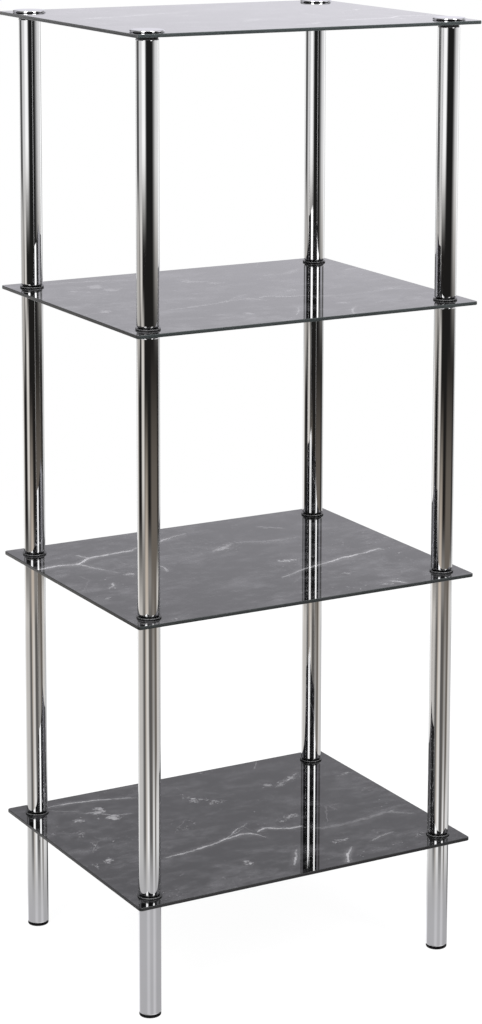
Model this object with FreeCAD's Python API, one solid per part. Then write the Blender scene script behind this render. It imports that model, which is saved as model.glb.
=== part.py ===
import FreeCAD, Part
import os
from FreeCAD import Vector as V

# ---------------------------------------------------------------------------
# Four-tier glass etagere: four printed glass shelves carried at their corners
# by chrome tube posts that screw together through the glass.
# Millimetres. Origin at the centre of the footprint on the floor,
# +X along the long side of the shelves, +Y to the back, +Z up.
# ---------------------------------------------------------------------------

# shelves
SHELF_W = 440.0          # along X
SHELF_D = 360.0          # along Y
GLASS_T = 4.0            # glass thickness
CORNER_R = 4.0           # plan radius of the glass corners
ARRIS = 0.5              # ground chamfer on the glass edges
HOLE_INSET_X = 27.0      # hole centre to the left or right glass edge
HOLE_INSET_Y = 29.0      # hole centre to the front or back glass edge
HOLE_R = 6.0             # drilled hole in the glass
SHELF_TOP_1 = 142.0      # upper face of the bottom shelf
SHELF_PITCH = 325.0      # from one shelf to the next
SHELF_COUNT = 4

# tubes
TUBE_R = 12.7            # outside radius
TUBE_WALL = 1.0
END_R = 3.0              # rolled-in tube end, outside radius of the roll
LIP_R = 8.0              # inner radius of the rolled lip
LEG_FOOT_R = 0.9         # rounding at the open foot end of a leg

# washers
WASHER_T = 2.0
WASHER_UP_R = 14.0       # on top of the glass
WASHER_LOW_R = 13.1      # under the glass
WASHER_EDGE = 0.5        # rounding of the washer rims
COLLAR_R = 5.95          # collar of the lower washer, lines the hole in the glass
THREAD_CLEAR_R = 4.1     # hole for an M8 thread
PAD_T = 0.5              # soft pad under a cap disc
PAD_R = 15.0

# thread fittings (M8, threads drawn as plain cylinders)
STUD_R = 3.98
STUD_CHAMFER = 0.8
THREAD_R = 4.0           # tapped bore of the inserts
INSERT_LEN = 14.0
ENGAGE = 11.0            # thread engagement in each insert

# top cap screws
CAP_R = 19.0
CAP_T = 2.0
CAP_ROUND = 1.6          # rounded upper rim

# foot glides
GLIDE_T = 4.0            # visible height
GLIDE_R = 12.5
GLIDE_ROUND = 1.4        # rounded lower rim
PLUG_R = 11.65           # plug inside the leg
PLUG_LEN = 14.0
PLUG_HOLLOW_R = 8.5

# ---------------------------------------------------------------------------
os.makedirs("parts", exist_ok=True)

PX = SHELF_W / 2.0 - HOLE_INSET_X
PY = SHELF_D / 2.0 - HOLE_INSET_Y
CORNERS = [("front_left", -PX, -PY), ("front_right", PX, -PY),
           ("back_left", -PX, PY), ("back_right", PX, PY)]
TOPS = [SHELF_TOP_1 + SHELF_PITCH * i for i in range(SHELF_COUNT)]
SHELF_NAMES = ["bottom", "lower", "upper", "top"]
STOREYS = ["lower", "middle", "upper"]

TUBE_ID_R = TUBE_R - TUBE_WALL
END_RI = END_R - TUBE_WALL


def save(shape, name):
    shape.exportStep("parts/%s.step" % name)


def turned(points):
    """Solid of revolution about Z. points is a closed outline of (r, z) pairs;
    a triple ("arc", (r, z) mid, (r, z) end) makes a rounded corner."""
    edges = []
    cur = points[0]
    for p in points[1:] + [points[0]]:
        if p[0] == "arc":
            mid, end = p[1], p[2]
            edges.append(Part.Arc(V(cur[0], 0, cur[1]), V(mid[0], 0, mid[1]),
                                  V(end[0], 0, end[1])).toShape())
            cur = end
        else:
            if abs(p[0] - cur[0]) + abs(p[1] - cur[1]) > 1e-9:
                edges.append(Part.LineSegment(V(cur[0], 0, cur[1]), V(p[0], 0, p[1])).toShape())
            cur = p
    face = Part.Face(Part.Wire(edges))
    solid = face.revolve(V(0, 0, 0), V(0, 0, 1), 360)
    if solid.ShapeType != "Solid":
        solid = Part.Solid(Part.Shell(solid.Faces))
    if solid.Volume < 0:
        solid.reverse()
    return solid


K = 0.5 ** 0.5


def corner(cr, cz, radius, a, b):
    """Arc of a rounded corner: centre (cr, cz), from the direction a to b,
    both unit (r, z) steps. Returns the triple that turned() takes."""
    mid = (cr + radius * K * (a[0] + b[0]), cz + radius * K * (a[1] + b[1]))
    return ("arc", mid, (cr + radius * b[0], cz + radius * b[1]))


def at(shape, x, y, z=0.0):
    s = shape.copy()
    s.translate(V(x, y, z))
    return s


def group(solids):
    return Part.makeCompound(solids)


# --- glass shelf -----------------------------------------------------------
def make_shelf(top):
    body = Part.makeBox(SHELF_W, SHELF_D, GLASS_T, V(-SHELF_W / 2, -SHELF_D / 2, top - GLASS_T))
    upright = [e for e in body.Edges
               if abs(e.Vertexes[0].X - e.Vertexes[1].X) < 1e-6
               and abs(e.Vertexes[0].Y - e.Vertexes[1].Y) < 1e-6]
    body = body.makeFillet(CORNER_R, upright)
    rim = [e for e in body.Edges
           if all(abs(v.Z - top) < 1e-6 for v in e.Vertexes)
           or all(abs(v.Z - (top - GLASS_T)) < 1e-6 for v in e.Vertexes)]
    body = body.makeChamfer(ARRIS, rim)
    for _, x, y in CORNERS:
        body = body.cut(Part.makeCylinder(HOLE_R, GLASS_T + 2.0, V(x, y, top - GLASS_T - 1.0)))
    return body


# --- tubes -----------------------------------------------------------------
def make_post(z0, z1):
    """Tube with both ends rolled inwards to a lip."""
    cr = TUBE_R - END_R
    pts = [(LIP_R, z0), (cr, z0),
           corner(cr, z0 + END_R, END_R, (0, -1), (1, 0)),
           (TUBE_R, z1 - END_R),
           corner(cr, z1 - END_R, END_R, (1, 0), (0, 1)),
           (LIP_R, z1), (LIP_R, z1 - TUBE_WALL), (cr, z1 - TUBE_WALL),
           corner(cr, z1 - END_R, END_RI, (0, 1), (1, 0)),
           (TUBE_ID_R, z0 + END_R),
           corner(cr, z0 + END_R, END_RI, (1, 0), (0, -1)),
           (LIP_R, z0 + TUBE_WALL)]
    return turned(pts)


def make_leg(z0, z1):
    """Tube with a rolled top end and an open foot end that takes the glide."""
    cr = TUBE_R - END_R
    f = LEG_FOOT_R
    pts = [(TUBE_ID_R, z0), (TUBE_R - f, z0),
           corner(TUBE_R - f, z0 + f, f, (0, -1), (1, 0)),
           (TUBE_R, z1 - END_R),
           corner(cr, z1 - END_R, END_R, (1, 0), (0, 1)),
           (LIP_R, z1), (LIP_R, z1 - TUBE_WALL), (cr, z1 - TUBE_WALL),
           corner(cr, z1 - END_R, END_RI, (0, 1), (1, 0))]
    return turned(pts)


# --- tube-end insert -------------------------------------------------------
def make_insert(zend, up):
    """Tapped steel plug held behind a rolled tube end. zend is the tube's end,
    up is +1 for the top end of a tube and -1 for its bottom end."""
    s = -float(up)
    zf = zend + s * TUBE_WALL
    zb = zf + s * INSERT_LEN
    cr = TUBE_R - END_R
    pts = [(THREAD_R, zf), (cr, zf), (TUBE_ID_R, zf + s * END_RI),
           (TUBE_ID_R, zb), (THREAD_R, zb)]
    return turned(pts)


# --- stud ------------------------------------------------------------------
def make_stud(z0, z1):
    c = STUD_CHAMFER
    return turned([(0, z0), (STUD_R - c, z0), (STUD_R, z0 + c),
                   (STUD_R, z1 - c), (STUD_R - c, z1), (0, z1)])


# --- washers ---------------------------------------------------------------
def make_washer_up(z0):
    e, r = WASHER_EDGE, WASHER_UP_R
    z1 = z0 + WASHER_T
    return turned([(THREAD_CLEAR_R, z0), (r - e, z0),
                   corner(r - e, z0 + e, e, (0, -1), (1, 0)),
                   (r, z1 - e), corner(r - e, z1 - e, e, (1, 0), (0, 1)),
                   (THREAD_CLEAR_R, z1)])


def make_washer_low(z1):
    """Washer under the glass, with a collar that stands in the drilled hole."""
    e, r = WASHER_EDGE, WASHER_LOW_R
    z0 = z1 - WASHER_T
    return turned([(THREAD_CLEAR_R, z0), (r - e, z0),
                   corner(r - e, z0 + e, e, (0, -1), (1, 0)),
                   (r, z1 - e), corner(r - e, z1 - e, e, (1, 0), (0, 1)),
                   (COLLAR_R, z1), (COLLAR_R, z1 + GLASS_T - 0.1),
                   (THREAD_CLEAR_R, z1 + GLASS_T - 0.1)])


def make_pad(z0):
    return Part.makeCylinder(PAD_R, PAD_T).cut(Part.makeCylinder(THREAD_CLEAR_R, PAD_T + 2, V(0, 0, -1))) \
        .translated(V(0, 0, z0))


# --- cap screw -------------------------------------------------------------
def make_cap(z0, z_shank):
    """Flat disc head on the pad at z0, with a threaded shank down to z_shank."""
    z1 = z0 + CAP_T
    e, c = CAP_ROUND, STUD_CHAMFER
    b = 0.3
    return turned([(0, z_shank), (STUD_R - c, z_shank), (STUD_R, z_shank + c),
                   (STUD_R, z0), (CAP_R - b, z0), (CAP_R, z0 + b),
                   (CAP_R, z1 - e), corner(CAP_R - e, z1 - e, e, (1, 0), (0, 1)),
                   (0, z1)])


# --- foot glide ------------------------------------------------------------
def make_glide():
    """Plastic glide: rounded disc under the tube and a hollow plug inside it."""
    e, r = GLIDE_ROUND, GLIDE_R
    zt = GLIDE_T
    ztop = zt + PLUG_LEN
    return turned([(0, 0), (r - e, 0), corner(r - e, e, e, (0, -1), (1, 0)),
                   (r, zt), (PLUG_R, zt), (PLUG_R, ztop - 1.5), (PLUG_R - 0.8, ztop),
                   (PLUG_HOLLOW_R, ztop), (PLUG_HOLLOW_R, zt), (0, zt)])


# ---------------------------------------------------------------------------
# shelves
for name, top in zip(SHELF_NAMES, TOPS):
    save(make_shelf(top), "shelf_" + name)

# legs and glides
leg_top = TOPS[0] - GLASS_T - WASHER_T
leg = make_leg(GLIDE_T, leg_top)
glide = make_glide()
for cname, x, y in CORNERS:
    save(at(leg, x, y), "leg_" + cname)
    save(at(glide, x, y), "foot_glide_" + cname)

# posts, storey by storey
spans = []
for i, storey in enumerate(STOREYS):
    z0 = TOPS[i] + WASHER_T
    z1 = TOPS[i + 1] - GLASS_T - WASHER_T
    spans.append((z0, z1))
    post = make_post(z0, z1)
    for cname, x, y in CORNERS:
        save(at(post, x, y), "post_%s_%s" % (storey, cname))

# tube-end inserts
save(group([at(make_insert(leg_top, +1), x, y) for _, x, y in CORNERS]), "inserts_leg_top")
for storey, (z0, z1) in zip(STOREYS, spans):
    save(group([at(make_insert(z0, -1), x, y) for _, x, y in CORNERS]), "inserts_post_%s_bottom" % storey)
    save(group([at(make_insert(z1, +1), x, y) for _, x, y in CORNERS]), "inserts_post_%s_top" % storey)

# washers and pads
for i, name in enumerate(SHELF_NAMES):
    low = make_washer_low(TOPS[i] - GLASS_T)
    save(group([at(low, x, y) for _, x, y in CORNERS]), "washers_under_shelf_" + name)
    if name != "top":
        up = make_washer_up(TOPS[i])
        save(group([at(up, x, y) for _, x, y in CORNERS]), "washers_on_shelf_" + name)
    else:
        save(group([at(make_pad(TOPS[i]), x, y) for _, x, y in CORNERS]), "pads_under_caps")

# studs through the three lower shelves
reach = TUBE_WALL + ENGAGE
for i, name in enumerate(SHELF_NAMES[:-1]):
    stud = make_stud(TOPS[i] - GLASS_T - WASHER_T - reach, TOPS[i] + WASHER_T + reach)
    save(group([at(stud, x, y) for _, x, y in CORNERS]), "studs_shelf_" + name)

# cap screws
cap = make_cap(TOPS[-1] + PAD_T, TOPS[-1] - GLASS_T - WASHER_T - reach)
for cname, x, y in CORNERS:
    save(at(cap, x, y), "cap_screw_" + cname)
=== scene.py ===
import math

import bmesh
import bpy
from mathutils import Matrix, Vector


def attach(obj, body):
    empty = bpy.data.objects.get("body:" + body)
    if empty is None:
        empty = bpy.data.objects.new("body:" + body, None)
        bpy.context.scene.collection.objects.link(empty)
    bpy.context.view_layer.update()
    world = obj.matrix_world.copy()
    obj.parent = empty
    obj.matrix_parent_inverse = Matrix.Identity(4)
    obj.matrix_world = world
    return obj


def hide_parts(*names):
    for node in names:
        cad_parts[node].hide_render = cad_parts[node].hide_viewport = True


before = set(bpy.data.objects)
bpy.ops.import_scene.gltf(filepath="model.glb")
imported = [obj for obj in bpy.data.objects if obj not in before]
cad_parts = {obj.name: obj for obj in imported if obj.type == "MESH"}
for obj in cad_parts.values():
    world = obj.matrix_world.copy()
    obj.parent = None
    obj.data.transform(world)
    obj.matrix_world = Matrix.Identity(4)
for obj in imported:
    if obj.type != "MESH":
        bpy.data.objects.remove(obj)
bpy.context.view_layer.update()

MM = 0.001

# ---------------------------------------------------------------------------
# Dimensions of the unit, in millimetres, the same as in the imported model.
# Origin at the centre of the footprint on the floor, +X along the long side
# of the shelves, +Y to the back, +Z up.
# ---------------------------------------------------------------------------
SHELF_W, SHELF_D, GLASS_T = 440.0, 360.0, 4.0
CORNER_R, ARRIS, HOLE_R = 4.0, 0.5, 6.0
PX, PY = 193.0, 151.0
TOPS = {"bottom": 142.0, "lower": 467.0, "upper": 792.0, "top": 1117.0}
ORDER = ["bottom", "lower", "upper", "top"]
STOREYS = ["lower", "middle", "upper"]
CORNERS = [("front_left", -PX, -PY), ("front_right", PX, -PY),
           ("back_left", -PX, PY), ("back_right", PX, PY)]

TUBE_R, TUBE_WALL, END_R, LIP_R = 12.7, 1.0, 3.0, 8.0
LEG_FOOT_R = 0.9
WASHER_T, WASHER_UP_R, WASHER_LOW_R, COLLAR_R = 2.0, 14.0, 13.1, 5.95
CLEAR_R, PAD_T, PAD_R = 4.1, 0.5, 15.0
STUD_R, THREAD_PITCH, THREAD_DEPTH = 3.98, 1.25, 0.62
CAP_R, CAP_T, CAP_ROUND = 19.0, 2.0, 1.6
GLIDE_T, GLIDE_R, GLIDE_ROUND = 4.0, 12.5, 1.4
PLUG_R, PLUG_LEN, PLUG_HOLLOW_R = 11.65, 14.0, 8.5


# ---------------------------------------------------------------------------
# Node helpers
# ---------------------------------------------------------------------------
class Graph:
    """Short ways to add nodes to one node tree and wire them up."""

    def __init__(self, tree):
        self.tree = tree
        self.nodes = tree.nodes
        self.links = tree.links

    def add(self, kind, **settings):
        n = self.nodes.new(kind)
        for k, v in settings.items():
            setattr(n, k, v)
        return n

    def put(self, socket, value):
        if isinstance(value, bpy.types.NodeSocket):
            self.links.new(value, socket)
        else:
            socket.default_value = value

    def math(self, op, a, b=None, c=None, clamp=False):
        n = self.add("ShaderNodeMath", operation=op, use_clamp=clamp)
        for i, v in enumerate((a, b, c)):
            if v is not None:
                self.put(n.inputs[i], v)
        return n.outputs[0]

    def vmath(self, op, a, b=None, scale=None):
        n = self.add("ShaderNodeVectorMath", operation=op)
        self.put(n.inputs[0], a)
        if b is not None:
            self.put(n.inputs[1], b)
        if scale is not None:
            self.put(n.inputs["Scale"], scale)
        return n.outputs["Value"] if op in ("LENGTH", "DOT_PRODUCT", "DISTANCE") else n.outputs[0]

    def ramp(self, v, a, b, lo=0.0, hi=1.0, smooth=True):
        """v from a..b to lo..hi, held at the ends."""
        n = self.add("ShaderNodeMapRange",
                     interpolation_type="SMOOTHSTEP" if smooth else "LINEAR", clamp=True)
        self.put(n.inputs[0], v)
        self.put(n.inputs[1], a)
        self.put(n.inputs[2], b)
        self.put(n.inputs[3], lo)
        self.put(n.inputs[4], hi)
        return n.outputs[0]

    def window(self, v, lo, hi, soft_lo, soft_hi=None):
        """1 between lo and hi, falling to 0 over the soft widths centred on them."""
        soft_hi = soft_lo if soft_hi is None else soft_hi
        up = self.ramp(v, lo - soft_lo / 2, lo + soft_lo / 2)
        down = self.ramp(v, hi - soft_hi / 2, hi + soft_hi / 2, 1.0, 0.0)
        return self.math("MULTIPLY", up, down)

    def mix(self, fac, a, b, blend="MIX"):
        n = self.add("ShaderNodeMix", data_type="RGBA", blend_type=blend)
        self.put(n.inputs[0], fac)
        for s, v in ((n.inputs[6], a), (n.inputs[7], b)):
            self.put(s, v)
        return n.outputs[2]

    def noise(self, vector, scale, detail=2.0, rough=0.5, distortion=0.0, lac=2.0):
        n = self.add("ShaderNodeTexNoise")
        self.put(n.inputs["Vector"], vector)
        n.inputs["Scale"].default_value = scale
        n.inputs["Detail"].default_value = detail
        n.inputs["Roughness"].default_value = rough
        n.inputs["Lacunarity"].default_value = lac
        n.inputs["Distortion"].default_value = distortion
        return n

    def voronoi(self, vector, scale, feature="F1", rand=1.0):
        n = self.add("ShaderNodeTexVoronoi", feature=feature)
        self.put(n.inputs["Vector"], vector)
        n.inputs["Scale"].default_value = scale
        n.inputs["Randomness"].default_value = rand
        return n.outputs["Distance"]

    def curve(self, v, points, handle="VECTOR"):
        n = self.add("ShaderNodeFloatCurve")
        self.put(n.inputs["Value"], v)
        c = n.mapping.curves[0]
        pts = sorted(points)
        c.points[0].location = pts[0]
        c.points[1].location = pts[-1]
        for p in pts[1:-1]:
            c.points.new(*p)
        for p in c.points:
            p.handle_type = handle
        n.mapping.update()
        return n.outputs[0]


def material(name):
    mat = bpy.data.materials.new(name)
    mat.use_nodes = True
    g = Graph(mat.node_tree)
    bsdf = g.nodes["Principled BSDF"]
    return mat, g, bsdf


def grey(v):
    return (v, v, v, 1.0)


# ---------------------------------------------------------------------------
# Marble print, drawn with nodes. Coordinates are millimetres on the shelf.
# ---------------------------------------------------------------------------
def across(points):
    """A vein is a function along its longer direction."""
    xs = [p[0] for p in points]
    ys = [p[1] for p in points]
    return "X" if max(xs) - min(xs) >= max(ys) - min(ys) else "Y"


def draw_vein(g, x, y, points, width, strength):
    """A vein through points, (x, y) in mm. strength is a list of (share of the
    way along, brightness)."""
    axis = across(points)
    pts = sorted(points if axis == "X" else [(b, a) for a, b in points])
    s, t = (x, y) if axis == "X" else (y, x)
    s0, s1 = pts[0][0], pts[-1][0]
    lo = min(p[1] for p in pts) - 1.0
    hi = max(p[1] for p in pts) + 1.0
    u = g.ramp(s, s0, s1, smooth=False)
    c = g.curve(u, [((p[0] - s0) / (s1 - s0), (p[1] - lo) / (hi - lo)) for p in pts])
    line = g.math("MULTIPLY_ADD", c, hi - lo, lo)
    d = g.math("ABSOLUTE", g.math("SUBTRACT", t, line))
    if points[0][0 if axis == "X" else 1] > points[-1][0 if axis == "X" else 1]:
        strength = [(1.0 - a, b) for a, b in strength]
    bright = g.curve(u, strength)
    inside = g.window(s, s0, s1, 6.0)
    core = g.ramp(d, width * 0.20, width * 1.25, 1.0, 0.0)
    glow = g.math("MULTIPLY", g.ramp(d, 0.0, width * 4.5, 1.0, 0.0), 0.20)
    body = g.math("MAXIMUM", core, glow)
    return g.math("MULTIPLY", g.math("MULTIPLY", body, bright), inside)


def blot(g, x, y, cx, cy, rx, ry, angle):
    """A soft elliptical patch, 1 at its middle."""
    a = math.radians(angle)
    dx = g.math("SUBTRACT", x, cx)
    dy = g.math("SUBTRACT", y, cy)
    p = g.math("ADD", g.math("MULTIPLY", dx, math.cos(a) / rx), g.math("MULTIPLY", dy, math.sin(a) / rx))
    q = g.math("ADD", g.math("MULTIPLY", dx, -math.sin(a) / ry), g.math("MULTIPLY", dy, math.cos(a) / ry))
    r2 = g.math("ADD", g.math("MULTIPLY", p, p), g.math("MULTIPLY", q, q))
    return g.ramp(r2, 0.0, 1.0, 1.0, 0.0)


# first drawing of the print: bottom shelf, and the same sheet on the upper one
VEINS_A = [
    ([(-128, -58), (-100, -58), (-70, -51), (-40, -42), (-15, -37), (0, -39)],
     2.0, [(0.0, 0.30), (0.2, 0.75), (0.6, 1.0), (1.0, 0.95)]),
    ([(8, -40), (22, -33), (36, -43), (48, -48), (66, -49)],
     2.3, [(0.0, 0.75), (0.3, 1.0), (0.7, 0.9), (1.0, 0.5)]),
    ([(-14, -36), (-2, -39), (4, -47), (8, -58)], 2.8, [(0.0, 0.9), (0.6, 0.95), (1.0, 0.5)]),
    ([(62, -50), (82, -67), (105, -69), (140, -65), (175, -57), (205, -80)],
     4.6, [(0.0, 0.05), (0.25, 0.18), (0.45, 0.12), (0.6, 0.22), (0.8, 0.28), (1.0, 0.12)]),
    ([(-35, -40), (-15, -25), (5, -14), (12, -8)], 1.2, [(0.0, 0.6), (0.6, 0.75), (1.0, 0.2)]),
    ([(-26, -34), (-10, -27), (2, -19)], 0.9, [(0.0, 0.4), (0.5, 0.55), (1.0, 0.2)]),
    ([(-180, 158), (-145, 157), (-110, 153), (-80, 142), (-60, 135)],
     2.2, [(0.0, 0.55), (0.4, 0.75), (0.8, 0.5), (1.0, 0.1)]),
    ([(-6, -152), (8, -130), (15, -118), (22, -110)], 2.1, [(0.0, 0.45), (0.4, 0.85), (0.8, 0.6), (1.0, 0.2)]),
    ([(52, -177), (58, -166), (68, -152), (82, -136)], 1.9, [(0.0, 0.7), (0.5, 0.9), (1.0, 0.25)]),
    ([(105, 84), (122, 94), (134, 101), (152, 112)], 2.4, [(0.0, 0.35), (0.5, 0.85), (1.0, 0.35)]),
    ([(110, 154), (118, 166), (125, 178)], 0.9, [(0.0, 0.4), (1.0, 0.5)]),
    ([(-150, 122), (-134, 116), (-118, 98), (-95, 88)], 1.4, [(0.0, 0.3), (0.4, 0.55), (1.0, 0.3)]),
    ([(110, -132), (130, -124), (150, -120)], 1.8, [(0.0, 0.2), (0.5, 0.35), (1.0, 0.15)]),
]
BLOTS_A = [
    (-127, 118, 11, 19, -24, 0.95), (-117, 88, 13, 12, -30, 0.95), (-142, 92, 12, 7, 10, 0.65),
    (-163, 99, 9, 9, 0, 0.90), (-3, 90, 19, 11, -30, 0.84), (14, 73, 15, 9, 0, 0.92), (-14, 104, 9, 18, -10, 0.78),
    (124, 95, 26, 10, 30, 0.95), (94, 96, 9, 15, 0, 0.8), (70, -14, 17, 11, 20, 0.85), (52, -22, 9, 9, 0, 0.7),
    (-50, -121, 9, 10, 0, 0.85), (-187, -34, 10, 12, 0, 0.95), (-206, -40, 18, 9, 0, 0.70),
    (80, -112, 13, 8, 0, 0.9), (-212, 76, 9, 7, 0, 0.8), (-182, 10, 7, 22, 0, 0.62), (180, -58, 13, 9, 10, 0.7),
    (176, -142, 13, 9, 20, 0.85), (134, -106, 6, 10, 0, 0.7), (205, 84, 22, 6, 15, 0.7), (8, 47, 6, 12, 0, 0.6),
    (-60, 15, 22, 14, 20, 0.42), (-140, -112, 24, 20, 20, 0.40), (-95, -150, 24, 8, -25, 0.45),
    (-185, 60, 16, 26, 0, 0.40), (195, 20, 14, 22, 10, 0.40), (40, 20, 16, 10, 20, 0.42), (50, 172, 22, 7, 10, 0.45),
]

# second drawing of the print: lower shelf, and turned round on the top one
VEINS_B = [
    ([(-219, 84), (-190, 86), (-166, 81), (-146, 101), (-120, 103), (-85, 107), (-72, 115)],
     3.0, [(0.0, 0.80), (0.3, 1.0), (0.6, 0.95), (0.9, 0.7), (1.0, 0.2)]),
    ([(-166, 80), (-158, 60), (-150, 42), (-142, 28)], 2.6, [(0.0, 0.65), (0.5, 0.42), (1.0, 0.32)]),
    ([(-145, 101), (-149, 110), (-153, 120)], 2.4, [(0.0, 0.75), (1.0, 0.40)]),
    ([(-38, 122), (-30, 131), (-14, 138), (8, 144)], 2.6, [(0.0, 0.8), (0.5, 0.6), (1.0, 0.25)]),
    ([(15, -86), (30, -78), (48, -68), (80, -60), (100, -54), (120, -46), (150, -39), (182, -31)],
     2.5, [(0.0, 0.35), (0.2, 0.55), (0.45, 0.85), (0.7, 1.0), (0.95, 0.9), (1.0, 0.5)]),
    ([(42, 77), (62, 70), (90, 62), (125, 63)], 4.4, [(0.0, 0.24), (0.5, 0.22), (1.0, 0.16)]),
    ([(-2, 54), (10, 62), (24, 68), (38, 78)], 4.2, [(0.0, 0.28), (0.5, 0.45), (1.0, 0.36)]),
    ([(100, 130), (110, 124), (118, 116), (126, 108)], 2.6, [(0.0, 0.35), (0.5, 0.7), (1.0, 0.3)]),
    ([(118, -158), (126, -166), (130, -176)], 2.0, [(0.0, 0.5), (0.5, 0.9), (1.0, 0.4)]),
    ([(-182, -30), (-172, -18), (-168, -8)], 1.6, [(0.0, 0.4), (0.5, 0.7), (1.0, 0.4)]),
    ([(-88, 36), (-86, 18), (-89, 2)], 2.2, [(0.0, 0.5), (0.5, 0.6), (1.0, 0.35)]),
]
BLOTS_B = [
    (16, 62, 20, 10, 15, 0.75), (34, 76, 8, 10, 0, 0.70), (114, 118, 20, 8, -48, 0.65), (58, -24, 16, 8, 0, 0.95),
    (48, -18, 6, 7, 0, 0.7), (-166, 81, 9, 7, 0, 0.8), (-132, 14, 9, 12, 30, 0.75), (-134, 34, 6, 10, 0, 0.5),
    (-175, -24, 7, 12, -25, 0.7), (95, -108, 16, 8, -25, 0.5), (192, -62, 9, 6, -20, 0.65),
    (105, -165, 18, 7, -30, 0.65), (24, 2, 14, 6, 15, 0.45), (196, 16, 16, 22, 40, 0.42), (160, 58, 22, 14, 10, 0.40),
    (-168, -172, 14, 7, 0, 0.6), (150, -38, 20, 10, 15, 0.40), (182, -36, 10, 8, 0, 0.55), (-50, 24, 24, 16, 30, 0.36),
    (60, 74, 22, 14, 0, 0.38), (-100, 150, 24, 10, 10, 0.36), (5, -52, 26, 14, 25, 0.34), (-200, -60, 10, 26, 10, 0.42),
]


def marble_top(name, veins, blots, turned, seed, ground_light, vein_light):
    """Dark marble print under clear glass: nearly black ground with cloudy grey
    streaks, white crackle veins and flecks, and the polish of the glass on top.
    The last two arguments scale the ground and the white of the veins per shelf: painted light and shade, for how each
    shelf is lit and seen."""
    mat, g, bsdf = material(name)
    coord = g.add("ShaderNodeTexCoord").outputs["Object"]
    mm = g.vmath("SCALE", coord, scale=-1000.0 if turned else 1000.0)
    flat = g.vmath("MULTIPLY", mm, (1.0, 1.0, 0.0))
    at = g.vmath("ADD", flat, (0.0, 0.0, seed))

    # the line of a vein wanders and jags
    wide = g.noise(at, 0.02, 3.0, 0.55).outputs["Color"]
    fine = g.noise(at, 0.13, 3.0, 0.60).outputs["Color"]
    w1 = g.vmath("SCALE", g.vmath("SUBTRACT", wide, (0.5, 0.5, 0.5)), scale=10.0)
    w2 = g.vmath("SCALE", g.vmath("SUBTRACT", fine, (0.5, 0.5, 0.5)), scale=5.0)
    bent = g.vmath("ADD", g.vmath("ADD", flat, w1), w2)
    xyz = g.add("ShaderNodeSeparateXYZ")
    g.put(xyz.inputs[0], bent)
    x, y = xyz.outputs[0], xyz.outputs[1]

    # broken brightness along the veins
    chop = g.ramp(g.noise(at, 0.07, 3.0, 0.6).outputs[0], 0.34, 0.58, 0.45, 1.0)
    total = None
    for points, width, strength in veins:
        v = draw_vein(g, x, y, points, width, strength)
        total = v if total is None else g.math("MAXIMUM", total, v)
    total = g.math("MULTIPLY", total, chop)

    # flecks: small ragged crumbs in uneven patches, with a few curled strokes
    rag = g.noise(at, 0.19, 3.0, 0.62).outputs[0]
    clump = g.noise(at, 0.070, 3.0, 0.60, 0.6).outputs[0]
    curl = g.noise(at, 0.052, 3.0, 0.58, 0.4).outputs[0]
    patch = None
    for cx, cy, rx, ry, angle, amount in blots:
        b = g.math("MULTIPLY", blot(g, x, y, cx, cy, rx * 1.2, ry * 1.2, angle), amount)
        patch = b if patch is None else g.math("MAXIMUM", patch, b)
    uneven = g.math("MULTIPLY_ADD", g.math("SUBTRACT", clump, 0.5), 2.6, patch)
    ragged = g.math("MULTIPLY_ADD", g.math("SUBTRACT", rag, 0.5), 1.7, uneven)
    crumbs = g.math("MULTIPLY", g.ramp(ragged, 0.62, 1.25), g.ramp(patch, 0.15, 0.65, 0.0, 0.60))
    stroke = g.ramp(g.math("ABSOLUTE", g.math("SUBTRACT", curl, 0.5)), 0.002, 0.020, 1.0, 0.0)
    stroke = g.math("MULTIPLY", stroke, g.ramp(uneven, 0.30, 0.85, 0.0, 0.36))
    stroke = g.math("MULTIPLY", stroke, g.ramp(patch, 0.05, 0.40))
    speck = g.math("MAXIMUM", crumbs, stroke)

    # stray crumbs, in drifts
    crumb = g.ramp(g.noise(at, 0.19, 2.0, 0.5).outputs[0], 0.64, 0.76)
    drift = g.ramp(g.noise(at, 0.016, 2.0, 0.5).outputs[0], 0.50, 0.66)
    crumb = g.math("MULTIPLY", g.math("MULTIPLY", crumb, drift), 0.38)

    # hair veins: a very fine net that shows only here and there
    hair_net = g.voronoi(g.vmath("ADD", bent, (137.0, 61.0, seed)), 0.017, "DISTANCE_TO_EDGE")
    hair = g.ramp(hair_net, 0.002, 0.014, 1.0, 0.0)
    hair_mask = g.ramp(g.noise(at, 0.013, 2.0, 0.5).outputs[0], 0.52, 0.70)
    hair = g.math("MULTIPLY", g.math("MULTIPLY", hair, hair_mask), 0.14)

    white = g.math("MAXIMUM", g.math("MAXIMUM", total, speck), g.math("MAXIMUM", hair, crumb))
    # painted light and shade: the white of the veins is scaled per shelf
    white = g.math("MULTIPLY", white, vein_light)

    # cloudy ground, drawn out a little along one direction
    rot = g.add("ShaderNodeMapping")
    g.put(rot.inputs["Vector"], at)
    rot.inputs["Rotation"].default_value = (0.0, 0.0, math.radians(-32.0))
    rot.inputs["Scale"].default_value = (0.60, 1.0, 1.0)
    cloud = g.noise(rot.outputs[0], 0.024, 4.0, 0.60, 0.5).outputs[0]
    mist = g.noise(rot.outputs[0], 0.085, 4.0, 0.62, 0.3).outputs[0]
    both = g.math("MULTIPLY_ADD", mist, 0.42, g.math("MULTIPLY", cloud, 0.58))
    ground = g.mix(g.ramp(both, 0.42, 0.74), (0.0036, 0.0036, 0.0038, 1.0), (0.090, 0.089, 0.094, 1.0))
    # painted light and shade: the ground is scaled per shelf
    ground = g.vmath("SCALE", ground, scale=ground_light)
    colour = g.mix(white, ground, (0.52, 0.515, 0.53, 1.0))
    g.put(bsdf.inputs["Base Color"], colour)

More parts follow.
